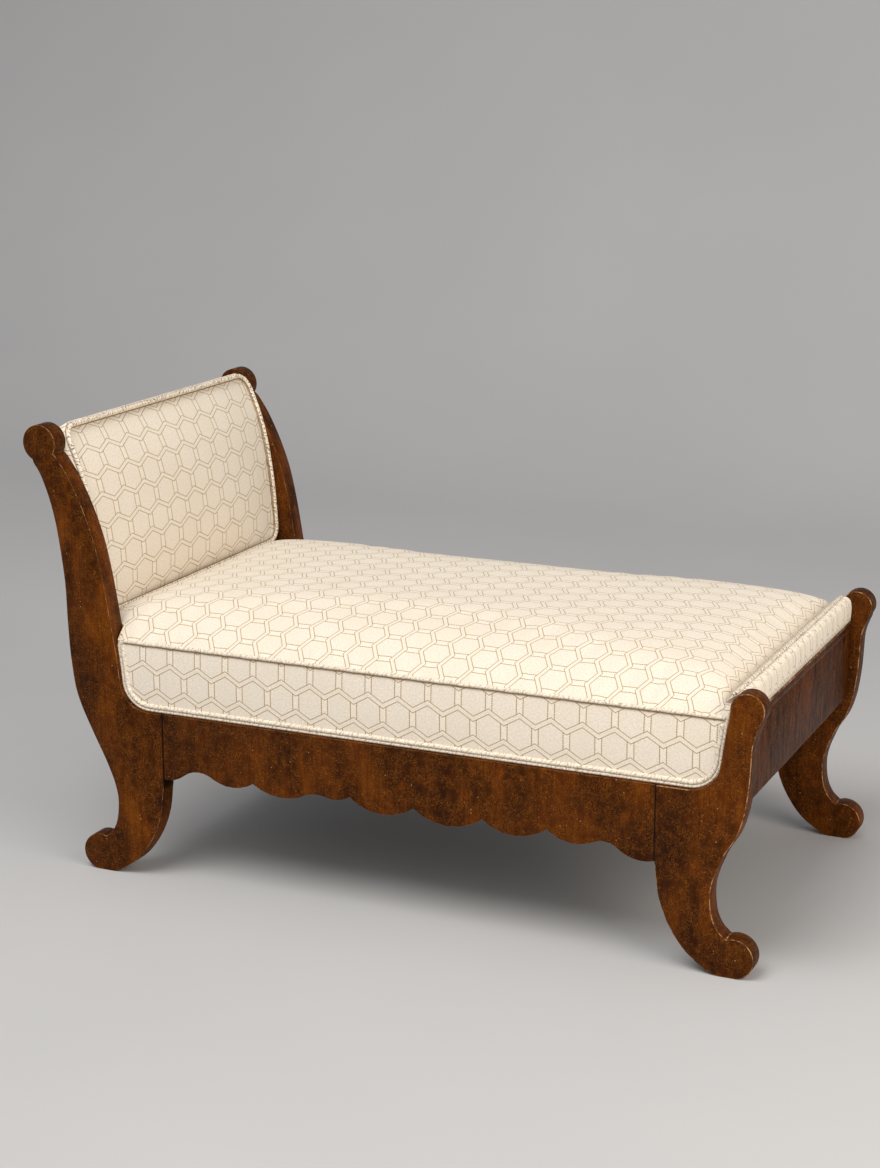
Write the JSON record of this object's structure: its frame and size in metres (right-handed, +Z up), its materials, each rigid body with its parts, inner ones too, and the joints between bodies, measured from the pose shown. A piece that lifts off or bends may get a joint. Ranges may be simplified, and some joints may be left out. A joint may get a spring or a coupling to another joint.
{
  "type": "recamier",
  "caption": "Recamier: a daybed with scroll-sawn wooden posts, scalloped aprons, a raised curved head panel, a low padded foot and a sprung, crowned seat.",
  "frame": {"origin": "on the floor, at the middle of the overall length and of the overall depth", "axes": "+X runs along the length towards the low foot end, the front is at -Y and +Z is up"},
  "size_m": [1.394, 0.76, 0.834],
  "materials": {
    "show_wood": "satin",
    "frame_wood": "matte",
    "cover_cloth": "woven",
    "jute": "coarse woven",
    "stuffing": "matte",
    "dust_cloth": "matte",
    "spring_steel": "satin",
    "fixing_steel": "satin"
  },
  "bodies": {
    "root": {"head_post_front": "show_wood", "head_post_rear": "show_wood", "foot_post_front": "show_wood", "foot_post_rear": "show_wood", "apron_front": "show_wood", "apron_rear": "show_wood", "foot_board": "show_wood", "foot_cap": "show_wood", "head_board": "show_wood", "seat_rail_front": "frame_wood", "seat_rail_rear": "frame_wood", "seat_rail_head": "frame_wood", "seat_rail_foot": "frame_wood", "seat_stretcher": "frame_wood", "corner_blocks": "frame_wood", "rail_screws": "fixing_steel", "block_screws": "fixing_steel", "webbing_lengthwise": "jute", "webbing_crosswise": "jute", "webbing_tacks": "fixing_steel", "dust_cover": "dust_cloth", "seat_springs": "spring_steel", "lashing_lengthwise": "jute", "lashing_crosswise": "jute", "spring_burlap": "jute", "seat_stuffing": "stuffing", "seat_pad": "stuffing", "seat_top_cover": "cover_cloth", "boxing_front": "cover_cloth", "boxing_rear": "cover_cloth", "seam_welt_front": "cover_cloth", "seam_welt_rear": "cover_cloth", "double_welt_front": "cover_cloth", "double_welt_rear": "cover_cloth", "foot_roll_pad": "stuffing", "foot_roll_cover": "cover_cloth", "foot_roll_welt": "cover_cloth", "panel_stile_front": "frame_wood", "panel_stile_rear": "frame_wood", "panel_top_rail": "frame_wood", "panel_bottom_rail": "frame_wood", "panel_dowels": "frame_wood", "panel_screws": "fixing_steel", "panel_webbing_across": "jute", "panel_webbing_upright": "jute", "panel_burlap": "jute", "panel_pad": "stuffing", "panel_cover": "cover_cloth", "panel_piping": "cover_cloth", "outside_back_cover": "cover_cloth", "outside_back_piping": "cover_cloth"}
  },
  "joints": []
}
